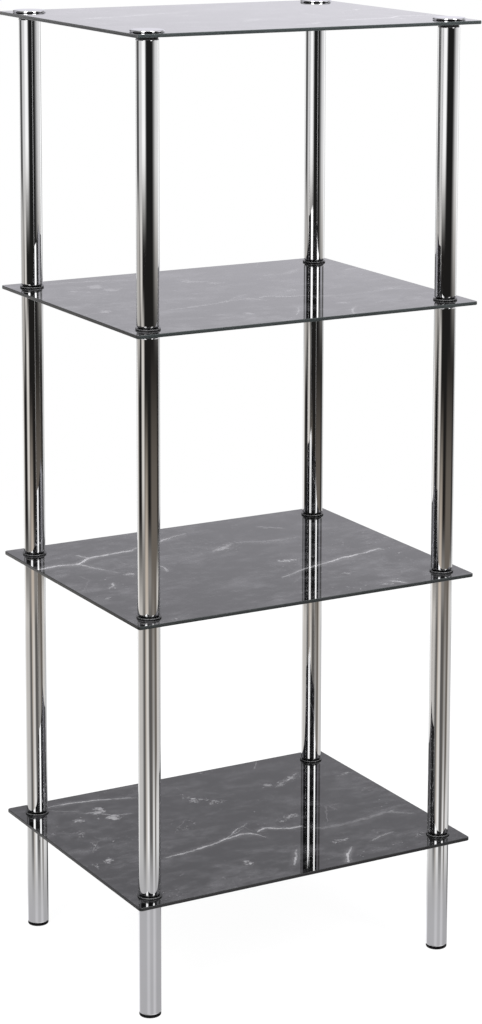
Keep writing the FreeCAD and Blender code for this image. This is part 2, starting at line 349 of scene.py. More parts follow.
    # polish: almost a mirror, with the faintest wipe marks
    wipe = g.noise(g.vmath("MULTIPLY", at, (0.4, 1.0, 1.0)), 0.03, 3.0, 0.6).outputs[0]
    g.put(bsdf.inputs["Roughness"], g.ramp(wipe, 0.35, 0.75, 0.012, 0.034))
    bsdf.inputs["IOR"].default_value = 1.5
    return mat


def edge_tone(g, tex, mm):
    """Colour of the ground glass edge, with painted light: the ends of the shelves are painted paler than the long
    sides, and the edges are painted greener and paler towards the top shelf, for how each is lit."""
    side = g.add("ShaderNodeSeparateXYZ")
    g.put(side.inputs[0], tex.outputs["Normal"])
    # painted light: the ends of the shelves are painted paler than the long sides
    end = g.ramp(g.math("ABSOLUTE", side.outputs[0]), 0.25, 0.75)
    xyz = g.add("ShaderNodeSeparateXYZ")
    g.put(xyz.inputs[0], mm)
    # painted light: the edges grow paler and greener towards the top shelf
    tall = g.ramp(xyz.outputs[2], 138.0, 1117.0, smooth=False)
    high = g.math("POWER", tall, 3.0)
    side_painted_light = g.mix(tall, (0.0075, 0.0078, 0.0080, 1.0), (0.050, 0.059, 0.060, 1.0))
    end_painted_light = g.mix(high, (0.010, 0.010, 0.0102, 1.0), (0.084, 0.085, 0.087, 1.0))
    return g.mix(end, side_painted_light, end_painted_light), xyz.outputs[2]


def edge_glass(name, gloss):
    """Ground and polished glass edge: deep grey green, with painted shade darker towards the underside of each shelf
    and painted light towards its top, and fine grinding lines along it."""
    mat, g, bsdf = material(name)
    bsdf.inputs["Specular IOR Level"].default_value = gloss
    tex = g.add("ShaderNodeTexCoord")
    mm = g.vmath("SCALE", tex.outputs["Object"], scale=1000.0)
    base, z = edge_tone(g, tex, mm)
    # height above the underside of whichever shelf this is
    level = g.math("MODULO", g.math("SUBTRACT", z, 138.0), 325.0)
    # painted shade and light: darker near the underside of the shelf, lighter near its top
    up = g.ramp(level, 0.3, 3.9, 0.72, 1.15, smooth=False)
    streak = g.noise(g.vmath("MULTIPLY", mm, (0.02, 0.02, 2.4)), 1.0, 4.0, 0.6).outputs[0]
    shade = g.math("MULTIPLY", up, g.ramp(streak, 0.35, 0.70, 0.85, 1.25))
    base = g.vmath("SCALE", base, scale=shade)
    g.put(bsdf.inputs["Base Color"], base)
    g.put(bsdf.inputs["Roughness"], g.ramp(streak, 0.3, 0.7, 0.16, 0.30))
    bsdf.inputs["IOR"].default_value = 1.5
    bump = g.add("ShaderNodeBump")
    bump.inputs["Strength"].default_value = 0.12
    bump.inputs["Distance"].default_value = 0.0002
    g.put(bump.inputs["Height"], streak)
    g.put(bsdf.inputs["Normal"], bump.outputs[0])
    return mat


def arris_glass():
    """Narrow ground chamfer along the glass edges, a little paler than them in random patches, with the same painted
    light as the edges.
    """
    mat, g, bsdf = material("glass_arris")
    tex = g.add("ShaderNodeTexCoord")
    mm = g.vmath("SCALE", tex.outputs["Object"], scale=1000.0)
    n = g.noise(mm, 0.7, 4.0, 0.65).outputs[0]
    base, _ = edge_tone(g, tex, mm)
    base = g.vmath("SCALE", base, scale=g.ramp(n, 0.35, 0.7, 1.0, 1.5))
    g.put(bsdf.inputs["Base Color"], base)
    g.put(bsdf.inputs["Roughness"], g.ramp(n, 0.3, 0.7, 0.22, 0.34))
    bsdf.inputs["IOR"].default_value = 1.5
    return mat


def print_back():
    """Underside of the shelf: the backing coat of the print, satin black with a
    fine screen texture."""
    mat, g, bsdf = material("print_backing")
    mm = g.vmath("SCALE", g.add("ShaderNodeTexCoord").outputs["Object"], scale=1000.0)
    cloud = g.noise(mm, 0.02, 4.0, 0.6).outputs[0]
    screen = g.noise(mm, 1.6, 2.0, 0.5).outputs[0]
    base = g.mix(g.ramp(cloud, 0.3, 0.7), (0.010, 0.010, 0.011, 1.0), (0.020, 0.020, 0.022, 1.0))
    base = g.mix(g.ramp(screen, 0.45, 0.75, 0.0, 0.5), base, (0.030, 0.030, 0.032, 1.0))
    g.put(bsdf.inputs["Base Color"], base)
    g.put(bsdf.inputs["Roughness"], g.ramp(cloud, 0.3, 0.7, 0.30, 0.42))
    bump = g.add("ShaderNodeBump")
    bump.inputs["Strength"].default_value = 0.10
    bump.inputs["Distance"].default_value = 0.0002
    g.put(bump.inputs["Height"], screen)
    g.put(bsdf.inputs["Normal"], bump.outputs[0])
    return mat


def chrome(name, tint, rough_lo, rough_hi, ripple):
    """Bright chrome plate: a slight haze that comes and goes, and the long soft
    waves of drawn tube."""
    mat, g, bsdf = material(name)
    mm = g.vmath("SCALE", g.add("ShaderNodeTexCoord").outputs["Object"], scale=1000.0)
    haze = g.noise(mm, 0.018, 4.0, 0.6).outputs[0]
    fine = g.noise(g.vmath("MULTIPLY", mm, (1.0, 1.0, 0.12)), 0.22, 3.0, 0.6).outputs[0]
    c = g.mix(g.ramp(haze, 0.3, 0.7),
              (tint[0] * 0.965, tint[1] * 0.965, tint[2] * 0.965, 1.0), (*tint, 1.0))
    g.put(bsdf.inputs["Base Color"], c)
    bsdf.inputs["Metallic"].default_value = 1.0
    g.put(bsdf.inputs["Roughness"], g.ramp(fine, 0.35, 0.7, rough_lo, rough_hi))
    if ripple:
        wave = g.noise(g.vmath("MULTIPLY", mm, (1.0, 1.0, 0.10)), 0.09, 1.0, 0.4).outputs[0]
        bump = g.add("ShaderNodeBump")
        bump.inputs["Strength"].default_value = ripple
        bump.inputs["Distance"].default_value = 0.0004
        g.put(bump.inputs["Height"], wave)
        g.put(bsdf.inputs["Normal"], bump.outputs[0])
    return mat


def grey_rubber():
    """Washers: dark grey rubber, with painted shade: black on the clamped faces and in a band along the foot of the
    rim, leaving a shiny grey band round the rim."""
    mat, g, bsdf = material("washer_grey")
    tex = g.add("ShaderNodeTexCoord")
    mm = g.vmath("SCALE", tex.outputs["Object"], scale=1000.0)
    n = g.noise(mm, 0.35, 4.0, 0.6).outputs[0]
    pores = g.noise(mm, 2.2, 2.0, 0.5).outputs[0]
    base = g.mix(g.ramp(n, 0.35, 0.7), (0.095, 0.095, 0.097, 1.0), (0.135, 0.135, 0.138, 1.0))
    side = g.add("ShaderNodeSeparateXYZ")
    g.put(side.inputs[0], tex.outputs["Normal"])
    # painted shade: the clamped top and bottom faces are black
    flat = g.ramp(g.math("ABSOLUTE", side.outputs[2]), 0.45, 0.85)
    # height above the top of whichever shelf this is
    at = g.add("ShaderNodeSeparateXYZ")
    g.put(at.inputs[0], mm)
    level = g.math("FLOORED_MODULO", g.math("SUBTRACT", at.outputs[2], 141.9), 325.0)
    # painted shade: a black band along the foot of the rim, where it sits on the glass
    foot = g.ramp(level, 0.75, 1.05, 1.0, 0.0)
    base = g.mix(g.math("MAXIMUM", flat, foot), base, (0.004, 0.004, 0.0042, 1.0))
    g.put(bsdf.inputs["Base Color"], base)
    g.put(bsdf.inputs["Roughness"], g.ramp(n, 0.3, 0.7, 0.20, 0.30))
    bsdf.inputs["Specular IOR Level"].default_value = 0.35
    bump = g.add("ShaderNodeBump")
    bump.inputs["Strength"].default_value = 0.08
    bump.inputs["Distance"].default_value = 0.0002
    g.put(bump.inputs["Height"], pores)
    g.put(bsdf.inputs["Normal"], bump.outputs[0])
    return mat


def soft_pad():
    """Thin soft pads under the caps: milky clear vinyl."""
    mat, g, bsdf = material("pad_vinyl")
    mm = g.vmath("SCALE", g.add("ShaderNodeTexCoord").outputs["Object"], scale=1000.0)
    n = g.noise(mm, 0.5, 3.0, 0.6).outputs[0]
    base = g.mix(g.ramp(n, 0.3, 0.7), (0.30, 0.31, 0.32, 1.0), (0.42, 0.43, 0.44, 1.0))
    g.put(bsdf.inputs["Base Color"], base)
    g.put(bsdf.inputs["Roughness"], g.ramp(n, 0.3, 0.7, 0.25, 0.4))
    return mat


def glide_plastic():
    """Moulded black foot: fine spark texture and scuffs on the sole."""
    mat, g, bsdf = material("glide_plastic_black")
    mm = g.vmath("SCALE", g.add("ShaderNodeTexCoord").outputs["Object"], scale=1000.0)
    n = g.noise(mm, 1.3, 3.0, 0.6).outputs[0]
    rub = g.noise(mm, 0.25, 4.0, 0.65).outputs[0]
    xyz = g.add("ShaderNodeSeparateXYZ")
    g.put(xyz.inputs[0], mm)
    sole = g.ramp(xyz.outputs[2], 0.0, 0.5, 1.0, 0.0)
    base = g.mix(g.ramp(n, 0.4, 0.7), (0.0016, 0.0016, 0.0017, 1.0), (0.0050, 0.0050, 0.0054, 1.0))
    base = g.mix(g.math("MULTIPLY", sole, g.ramp(rub, 0.45, 0.7, 0.0, 0.6)), base, (0.07, 0.07, 0.072, 1.0))
    g.put(bsdf.inputs["Base Color"], base)
    g.put(bsdf.inputs["Roughness"], g.ramp(n, 0.3, 0.7, 0.42, 0.58))
    bsdf.inputs["Specular IOR Level"].default_value = 0.12
    bump = g.add("ShaderNodeBump")
    bump.inputs["Strength"].default_value = 0.15
    bump.inputs["Distance"].default_value = 0.0002
    g.put(bump.inputs["Height"], n)
    g.put(bsdf.inputs["Normal"], bump.outputs[0])
    return mat


def zinc_steel():
    """Threaded fittings inside the tubes: bright zinc plate, slightly streaky."""
    mat, g, bsdf = material("fitting_zinc")
    mm = g.vmath("SCALE", g.add("ShaderNodeTexCoord").outputs["Object"], scale=1000.0)
    n = g.noise(mm, 0.4, 4.0, 0.65).outputs[0]
    base = g.mix(g.ramp(n, 0.35, 0.7), (0.42, 0.43, 0.45, 1.0), (0.62, 0.63, 0.64, 1.0))
    g.put(bsdf.inputs["Base Color"], base)
    bsdf.inputs["Metallic"].default_value = 1.0
    g.put(bsdf.inputs["Roughness"], g.ramp(n, 0.3, 0.7, 0.26, 0.42))
    return mat


M_CHROME = chrome("chrome_tube", (0.80, 0.80, 0.805), 0.010, 0.030, 0.03)
M_CAP = chrome("chrome_cap", (0.78, 0.78, 0.785), 0.015, 0.040, 0.0)
M_CAP.node_tree.nodes["Principled BSDF"].inputs["Specular Tint"].default_value = (0.80, 0.80, 0.82, 1.0)
M_RUBBER = grey_rubber()
M_PAD = soft_pad()
M_GLIDE = glide_plastic()
M_STEEL = zinc_steel()
M_EDGE = edge_glass("glass_edge", 0.5)
# the ends of the shelves: lower gloss, and painted paler than the long sides by edge_tone (painted light)
M_END = edge_glass("glass_edge_ends_painted_light", 0.29)
M_ARRIS = arris_glass()
M_BACK = print_back()
# painted light and shade: each shelf's print gets its own ground and vein brightness for how that shelf is lit and seen
M_MARBLE = {
    "bottom": marble_top("marble_glass_bottom", VEINS_A, BLOTS_A, False, 0.0, 0.82, 0.95),
    "lower": marble_top("marble_glass_lower", VEINS_B, BLOTS_B, False, 31.0, 1.0, 1.0),
    "upper": marble_top("marble_glass_upper", VEINS_A, BLOTS_A, False, 7.0, 1.1, 0.50),
    "top": marble_top("marble_glass_top", VEINS_B, BLOTS_B, True, 53.0, 1.0, 0.75),
}


# ---------------------------------------------------------------------------
# Mesh helpers
# ---------------------------------------------------------------------------
def finish_mesh(bm, name, mats, sharp=32.0):
    bmesh.ops.recalc_face_normals(bm, faces=bm.faces[:])
    for f in bm.faces:
        f.smooth = True
    mesh = bpy.data.meshes.new(name)
    bm.to_mesh(mesh)
    bm.free()
    mesh.set_sharp_from_angle(angle=math.radians(sharp))
    obj = bpy.data.objects.new(name, mesh)
    bpy.context.scene.collection.objects.link(obj)
    for m in mats:
        mesh.materials.append(m)
    return obj


def arc(cr, cz, radius, a0, a1, n):
    """Points of an arc in the (r, z) plane, angles in degrees, ends included."""
    return [(cr + radius * math.cos(math.radians(a0 + (a1 - a0) * i / n)),
             cz + radius * math.sin(math.radians(a0 + (a1 - a0) * i / n))) for i in range(n + 1)]


def run(r, z0, z1, n=1, ease=0.25):
    """Points up or down a straight wall, with a supporting ring just inside each end."""
    s = 1.0 if z1 > z0 else -1.0
    pts = [(r, z0 + s * ease)]
    for i in range(1, n):
        pts.append((r, z0 + (z1 - z0) * i / n))
    pts.append((r, z1 - s * ease))
    return pts


def turn(bm, profile, x, y, segs, closed=True):
    """Turns a profile of (r, z) in mm about the vertical through (x, y). A point
    with r = 0 is a pole."""
    rings = []
    for r, z in profile:
        if r < 1e-6:
            rings.append([bm.verts.new((x * MM, y * MM, z * MM))])
        else:
            rings.append([bm.verts.new(((x + r * math.cos(2 * math.pi * k / segs)) * MM,
                                        (y + r * math.sin(2 * math.pi * k / segs)) * MM,
                                        z * MM)) for k in range(segs)])
    last = len(rings) if closed else len(rings) - 1
    for i in range(last):
        a, b = rings[i], rings[(i + 1) % len(rings)]
        if len(a) == 1 and len(b) == 1:
            continue
        for k in range(segs):
            j = (k + 1) % segs
            if len(a) == 1:
                bm.faces.new((a[0], b[k], b[j]))
            elif len(b) == 1:
                bm.faces.new((a[k], a[j], b[0]))
            else:
                bm.faces.new((a[k], a[j], b[j], b[k]))


def place(obj, slot, *nodes):
    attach(obj, "root")
    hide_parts(*nodes)
    return obj


# ---------------------------------------------------------------------------
# Glass shelves
# ---------------------------------------------------------------------------
def rounded_outline(hx, hy, r, n=8):
    pts = []
    for cx, cy, a0 in ((hx - r, hy - r, 0), (-hx + r, hy - r, 90), (-hx + r, -hy + r, 180), (hx - r, -hy + r, 270)):
        for i in range(n + 1):
            a = math.radians(a0 + 90.0 * i / n)
            pts.append((cx + r * math.cos(a), cy + r * math.sin(a)))
    return pts


def make_shelf(name, top):
    """Toughened glass plate with rounded corners, ground chamfers top and bottom
    and a drilled hole at each corner."""
    bm = bmesh.new()
    z1, z0 = top, top - GLASS_T
    levels = [(ARRIS, z0), (0.0, z0 + ARRIS), (0.0, z1 - ARRIS), (ARRIS, z1)]
    loops = []
    for inset, z in levels:
        pts = rounded_outline(SHELF_W / 2 - inset, SHELF_D / 2 - inset, CORNER_R - inset)
        loops.append([bm.verts.new((px * MM, py * MM, z * MM)) for px, py in pts])
    n = len(loops[0])
    for i in range(3):
        for k in range(n):
            j = (k + 1) % n
            f = bm.faces.new((loops[i][k], loops[i][j], loops[i + 1][j], loops[i + 1][k]))
            run_y = abs(loops[i][k].co.y - loops[i][j].co.y) > abs(loops[i][k].co.x - loops[i][j].co.x)
            f.material_index = (4 if run_y else 1) if i == 1 else 2
    segs = 40
    holes = []
    for _, cx, cy in CORNERS:
        pair = []
        for z in (z0, z1):
            pair.append([bm.verts.new(((cx + HOLE_R * math.cos(2 * math.pi * k / segs)) * MM,
                                       (cy + HOLE_R * math.sin(2 * math.pi * k / segs)) * MM,
                                       z * MM)) for k in range(segs)])
        for k in range(segs):
            j = (k + 1) % segs
            f = bm.faces.new((pair[0][k], pair[1][k], pair[1][j], pair[0][j]))
            f.material_index = 1
        holes.append(pair)
    for which, outer, index in ((0, loops[0], 3), (1, loops[3], 0)):
        rims = [outer] + [h[which] for h in holes]
        edges = []
        for rim in rims:
            for k in range(len(rim)):
                e = bm.edges.get((rim[k], rim[(k + 1) % len(rim)]))
                edges.append(e)
        made = bmesh.ops.triangle_fill(bm, use_beauty=True, use_dissolve=False, edges=edges)
        for item in made["geom"]:
            if isinstance(item, bmesh.types.BMFace):
                item.material_index = index
    return finish_mesh(bm, name, [M_MARBLE[name.replace("glass_shelf_", "")], M_EDGE, M_ARRIS, M_BACK, M_END],
                       sharp=25.0)


for key in ORDER:
    place(make_shelf("glass_shelf_" + key, TOPS[key]), "marble_glass", "shelf_" + key)


# ---------------------------------------------------------------------------
# Chrome tubes
# ---------------------------------------------------------------------------
def post_profile(z0, z1):
    cr = TUBE_R - END_R
    ri = END_R - TUBE_WALL
    p = [(LIP_R, z0), (LIP_R + 0.25, z0)]
    p += arc(cr, z0 + END_R, END_R, -90, 0, 12)
    p += run(TUBE_R, z0 + END_R, z1 - END_R, 6)
    p += arc(cr, z1 - END_R, END_R, 0, 90, 12)
    p += [(LIP_R + 0.25, z1), (LIP_R, z1), (LIP_R, z1 - TUBE_WALL)]
    p += arc(cr, z1 - END_R, ri, 90, 0, 6)
    p += run(TUBE_R - TUBE_WALL, z1 - END_R, z0 + END_R, 2)
    p += arc(cr, z0 + END_R, ri, 0, -90, 6)
    p += [(LIP_R, z0 + TUBE_WALL)]
    return p


def leg_profile(z0, z1):
    cr = TUBE_R - END_R
    ri = END_R - TUBE_WALL
    f = LEG_FOOT_R
    p = [(TUBE_R - TUBE_WALL, z0)]
    p += arc(TUBE_R - f, z0 + f, f, -90, 0, 5)
    p += run(TUBE_R, z0 + f, z1 - END_R, 4)
    p += arc(cr, z1 - END_R, END_R, 0, 90, 12)
    p += [(LIP_R + 0.25, z1), (LIP_R, z1), (LIP_R, z1 - TUBE_WALL)]
    p += arc(cr, z1 - END_R, ri, 90, 0, 6)
    p += run(TUBE_R - TUBE_WALL, z1 - END_R, z0, 2)
    return p


TUBE_SEGS = 96
leg_top = TOPS["bottom"] - GLASS_T - WASHER_T
for cname, cx, cy in CORNERS:
    bm = bmesh.new()
    turn(bm, leg_profile(GLIDE_T, leg_top), cx, cy, TUBE_SEGS)
    place(finish_mesh(bm, "chrome_leg_" + cname, [M_CHROME]), "chrome", "leg_" + cname)

for i, storey in enumerate(STOREYS):
    z0 = TOPS[ORDER[i]] + WASHER_T
    z1 = TOPS[ORDER[i + 1]] - GLASS_T - WASHER_T
    for cname, cx, cy in CORNERS:
        bm = bmesh.new()
        turn(bm, post_profile(z0, z1), cx, cy, TUBE_SEGS)
        place(finish_mesh(bm, "chrome_post_%s_%s" % (storey, cname), [M_CHROME]), "chrome",
              "post_%s_%s" % (storey, cname))


# ---------------------------------------------------------------------------
# Washers and pads, in sets of four
# ---------------------------------------------------------------------------
def washer_up_profile(z0):
    e, r, z1 = 0.5, WASHER_UP_R, z0 + WASHER_T
    p = [(CLEAR_R, z0), (CLEAR_R + 0.3, z0), (r - e - 0.4, z0)]
    p += arc(r - e, z0 + e, e, -90, 0, 6)
    p += arc(r - e, z1 - e, e, 0, 90, 6)
    p += [(r - e - 0.4, z1), (CLEAR_R + 0.3, z1), (CLEAR_R, z1)]
    return p


def washer_low_profile(z1):
    e, r, z0 = 0.5, WASHER_LOW_R, z1 - WASHER_T
    p = [(CLEAR_R, z0), (CLEAR_R + 0.3, z0), (r - e - 0.4, z0)]
    p += arc(r - e, z0 + e, e, -90, 0, 6)
    p += arc(r - e, z1 - e, e, 0, 90, 6)
    p += [(r - e - 0.4, z1), (COLLAR_R, z1), (COLLAR_R, z1 + GLASS_T - 0.3),
          (COLLAR_R - 0.2, z1 + GLASS_T - 0.1), (CLEAR_R, z1 + GLASS_T - 0.1)]
    return p


def pad_profile(z0):
    e = 0.12
    return [(CLEAR_R, z0), (PAD_R - e, z0), (PAD_R, z0 + e), (PAD_R, z0 + PAD_T - e),
            (PAD_R - e, z0 + PAD_T), (CLEAR_R, z0 + PAD_T)]


for key in ORDER:
    bm = bmesh.new()
    for _, cx, cy in CORNERS:
        turn(bm, washer_low_profile(TOPS[key] - GLASS_T), cx, cy, 72)
    place(finish_mesh(bm, "washer_set_under_" + key, [M_RUBBER]), "washer_rubber", "washers_under_shelf_" + key)
    bm = bmesh.new()
    if key == "top":
        for _, cx, cy in CORNERS:
            turn(bm, pad_profile(TOPS[key]), cx, cy, 72)
        place(finish_mesh(bm, "pad_set_caps", [M_PAD]), "pad_vinyl", "pads_under_caps")
    else:
        for _, cx, cy in CORNERS:
            turn(bm, washer_up_profile(TOPS[key]), cx, cy, 72)
        place(finish_mesh(bm, "washer_set_on_" + key, [M_RUBBER]), "washer_rubber", "washers_on_shelf_" + key)


# ---------------------------------------------------------------------------
# Threads: studs through the glass, and the shanks of the cap screws
# ---------------------------------------------------------------------------
def thread_rings(bm, x, y, z0, z1, lead_lo, lead_hi, segs=24, steps=6):
    """Rings of a right-hand thread from z0 to z1. lead_lo and lead_hi are the
    lengths over which the thread runs out at each end."""
    rows = int(round((z1 - z0) / THREAD_PITCH * steps))
    rings = []
    for i in range(rows + 1):
        z = z0 + (z1 - z0) * i / rows
        fade = 1.0
        if lead_lo:
            fade = min(fade, (z - z0) / lead_lo)
        if lead_hi:
            fade = min(fade, (z1 - z) / lead_hi)
        crest = STUD_R - THREAD_DEPTH * (1.0 - max(0.0, min(1.0, fade)))
        ring = []
        for k in range(segs):
            ph = (z / THREAD_PITCH - k / segs) % 1.0
            tri = min(1.0, max(0.0, (abs(ph - 0.5) * 2.0 - 0.10) / 0.78))
            r = min(crest, STUD_R - THREAD_DEPTH * tri)
            a = 2 * math.pi * k / segs
            ring.append(bm.verts.new(((x + r * math.cos(a)) * MM, (y + r * math.sin(a)) * MM, z * MM)))
        rings.append(ring)
    for a, b in zip(rings[:-1], rings[1:]):
        for k in range(segs):
            j = (k + 1) % segs
            bm.faces.new((a[k], a[j], b[j], b[k]))
    return rings


REACH = TUBE_WALL + 11.0
for key in ORDER[:-1]:
    bm = bmesh.new()
    z0 = TOPS[key] - GLASS_T - WASHER_T - REACH
    z1 = TOPS[key] + WASHER_T + REACH
    for _, cx, cy in CORNERS:
        rings = thread_rings(bm, cx, cy, z0, z1, 0.8, 0.8)
        bm.faces.new(list(reversed(rings[0])))
        bm.faces.new(rings[-1])
    place(finish_mesh(bm, "stud_set_" + key, [M_STEEL], sharp=60.0), "fitting_steel", "studs_shelf_" + key)


def make_cap(name, x, y):
    """Cap screw: a flat polished disc with a rounded rim on a threaded shank."""
    bm = bmesh.new()
    z0 = TOPS["top"] + PAD_T
    z1 = z0 + CAP_T
    zs = TOPS["top"] - GLASS_T - WASHER_T - REACH
    e, b = CAP_ROUND, 0.3
    segs = 96
    prof = [(CAP_R - b - 2.0, z0), (CAP_R - b - 0.3, z0), (CAP_R - b, z0), (CAP_R, z0 + b)]
    prof += arc(CAP_R - e, z1 - e, e, 0, 90, 12)
    prof += [(CAP_R - e - 0.4, z1), (CAP_R * 0.55, z1), (CAP_R * 0.2, z1), (0.0, z1)]
    turn(bm, prof, x, y, segs, closed=False)
    rings = thread_rings(bm, x, y, zs, z0, 0.8, 0.5)
    bm.faces.new(list(reversed(rings[0])))
    # underside of the disc, between the shank and the rim
    bm.verts.ensure_lookup_table()
    rim = [v for v in bm.verts if abs(v.co.z / MM - z0) < 1e-4
           and abs(math.hypot(v.co.x / MM - x, v.co.y / MM - y) - (CAP_R - b - 2.0)) < 1e-3]
    rim.sort(key=lambda v: math.atan2(v.co.y / MM - y, v.co.x / MM - x))
    top = rings[-1]
    edges = []
    for loop in (rim, top):
        for k in range(len(loop)):
            p, q = loop[k], loop[(k + 1) % len(loop)]
            edges.append(bm.edges.get((p, q)) or bm.edges.new((p, q)))
    bmesh.ops.triangle_fill(bm, use_beauty=True, use_dissolve=False, edges=edges)
    return finish_mesh(bm, name, [M_CAP], sharp=40.0)


for cname, cx, cy in CORNERS:
    place(make_cap("cap_" + cname, cx, cy), "chrome", "cap_screw_" + cname)


# ---------------------------------------------------------------------------
# Foot glides
# ---------------------------------------------------------------------------
def glide_profile():
    e, r, zt = GLIDE_ROUND, GLIDE_R, GLIDE_T
    ztop = zt + PLUG_LEN
    p = [(0.0, 0.0), (r * 0.5, 0.0), (r - e - 0.4, 0.0)]
    p += arc(r - e, e, e, -90, 0, 8)
    p += [(r, e + 0.25), (r, zt - 0.35)] + arc(r - 0.25, zt - 0.25, 0.25, 0, 90, 3)
    p += [(PLUG_R, zt), (PLUG_R, zt + 0.4)]
    for k in range(3):
        zr = zt + 3.0 + 3.2 * k
        p += [(PLUG_R - 0.25, zr - 0.1), (PLUG_R - 0.25, zr + 1.2), (PLUG_R, zr + 1.5), (PLUG_R, zr + 2.6)]
    p += [(PLUG_R, ztop - 1.5), (PLUG_R - 0.8, ztop), (PLUG_HOLLOW_R + 0.3, ztop), (PLUG_HOLLOW_R, ztop - 0.3),
          (PLUG_HOLLOW_R, zt + 0.6), (PLUG_HOLLOW_R - 0.6, zt), (PLUG_HOLLOW_R * 0.5, zt), (0.0, zt)]
    return p


for cname, cx, cy in CORNERS:
    bm = bmesh.new()
    turn(bm, glide_profile(), cx, cy, 72, closed=False)
    place(finish_mesh(bm, "glide_" + cname, [M_GLIDE]), "glide_plastic", "foot_glide_" + cname)


# ---------------------------------------------------------------------------
# Fittings that stay as packed: the tapped inserts in the tube ends
# ---------------------------------------------------------------------------
for node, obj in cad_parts.items():
    if node.startswith("inserts_"):
        obj.data.materials.clear()
        obj.data.materials.append(M_STEEL)


# ---------------------------------------------------------------------------
# Camera
# ---------------------------------------------------------------------------
F_PX, PP_X, PP_Y = 2804.76, 340.0, 250.0
YAW, PITCH, ROLL = 0.538937, 0.161133, 0.007903
DIST, SIDE, DROP = 3324.85, 122.872, -289.429

fwd = Vector((math.sin(YAW) * math.cos(PITCH), math.cos(YAW) * math.cos(PITCH), -math.sin(PITCH)))
right = Vector((math.cos(YAW), -math.sin(YAW), 0.0))
up = right.cross(fwd)
cam_x = right * math.cos(ROLL) + up * math.sin(ROLL)
cam_y = up * math.cos(ROLL) - right * math.sin(ROLL)
eye = Vector((0.0, 0.0, 550.0)) - fwd * DIST + cam_x * SIDE - cam_y * DROP

cam_data = bpy.data.cameras.new("camera")
cam_data.sensor_fit = "AUTO"
cam_data.sensor_width = 36.0
cam_data.lens = F_PX * 36.0 / 1024.0
cam_data.shift_x = (241.0 - PP_X) / 1024.0
cam_data.shift_y = (PP_Y - 512.0) / 1024.0
cam_data.clip_start, cam_data.clip_end = 0.05, 60.0
cam = bpy.data.objects.new("camera", cam_data)
bpy.context.scene.collection.objects.link(cam)
m = Matrix.Identity(4)
for i in range(3):
    m[i][0], m[i][1], m[i][2], m[i][3] = cam_x[i], cam_y[i], -fwd[i], eye[i] * MM
cam.matrix_world = m
bpy.context.scene.camera = cam


# ---------------------------------------------------------------------------
# Studio: white surroundings, with the soft panels and dark gaps that bright
# plate needs round it. Bearings are degrees from the front of the view,
# negative to the left, and heights are degrees above the horizon.
# ---------------------------------------------------------------------------
FRONT = math.atan2(-math.cos(YAW), -math.sin(YAW))

world = bpy.data.worlds.new("studio")
bpy.context.scene.world = world
world.use_nodes = True
wg = Graph(world.node_tree)
wg.nodes.clear()
w_dir = wg.add("ShaderNodeTexCoord").outputs["Generated"]
w_rot = wg.add("ShaderNodeVectorRotate", rotation_type="Z_AXIS")
wg.put(w_rot.inputs["Vector"], w_dir)
w_rot.inputs["Angle"].default_value = -FRONT
w_xyz = wg.add("ShaderNodeSeparateXYZ")
wg.put(w_xyz.inputs[0], w_rot.outputs[0])
BEAR = wg.math("MULTIPLY", wg.math("ARCTAN2", w_xyz.outputs[1], w_xyz.outputs[0]), 180.0 / math.pi)
HIGH = wg.math("MULTIPLY", wg.math("ARCSINE", w_xyz.outputs[2]), 180.0 / math.pi)

studio = wg.mix(0.0, (1.2, 1.2, 1.2, 1.0), (1.2, 1.2, 1.2, 1.0))


def panel(colour, b0, b1, bsoft, h0, h1, hsoft, amount=1.0):
    """Lays a soft-edged panel over the studio so far."""
    global studio
    bs = bsoft if isinstance(bsoft, tuple) else (bsoft, bsoft)
    hs = hsoft if isinstance(hsoft, tuple) else (hsoft, hsoft)
    mask = wg.math("MULTIPLY", wg.window(BEAR, b0, b1, *bs), wg.window(HIGH, h0, h1, *hs))
    if amount != 1.0:
        mask = wg.math("MULTIPLY", mask, amount)
    studio = wg.mix(mask, studio, colour)


WARM = (1.0, 0.91, 0.82)


def lit(v, tint=(1.0, 1.0, 1.0)):
    return (v * tint[0], v * tint[1], v * tint[2], 1.0)


# the white ground behind the unit dims with height, and the ceiling is lit
COOL = (1.0, 0.985, 1.055)
panel(lit(1.01, COOL), -400, 400, 10, 1, 200, 4)
panel(lit(0.89, COOL), -400, 400, 10, 11.8, 200, 9)
panel(lit(0.70, COOL), -400, 400, 10, 16.5, 200, 9)
panel(lit(0.85), -400, 400, 10, 52, 200, 14)
# and falls off a little from right to left
BEHIND = wg.math("MULTIPLY", wg.math("ARCTAN2", wg.math("MULTIPLY", w_xyz.outputs[1], -1.0),
                                     wg.math("MULTIPLY", w_xyz.outputs[0], -1.0)), 180.0 / math.pi)
studio = wg.vmath("SCALE", studio, scale=wg.ramp(BEHIND, -6.0, 6.0, 1.07, 0.96, smooth=False))
# dark recess at the back left
panel(lit(0.10), -164, -126, (12, 16), -1, 44, (2, 12))
panel(lit(0.34), -164, -126, (12, 16), 9, 44, (12, 12))
# narrow dark gap low down behind the unit
panel(lit(0.06), 158, 400, 10, -26, 0.5, 3)
panel(lit(0.06), -400, -160, 10, -26, 0.5, 3)
# dark room on the side of the camera, below and above the horizon
panel(lit(0.015), -117, 138, (44, 50), -16.5, 2, (4, 3))
panel(lit(0.015), -100, 80, (24, 20), 0, 44, (3, 10))
panel(lit(0.28), 104, 138, (12, 12), 1, 26, (3, 6))
panel(lit(0.42), 66, 90, 8, 10.2, 12.0, 0.8)
panel(lit(0.12), -128, -96, (16, 8), -8.2, 2, (1.5, 3))
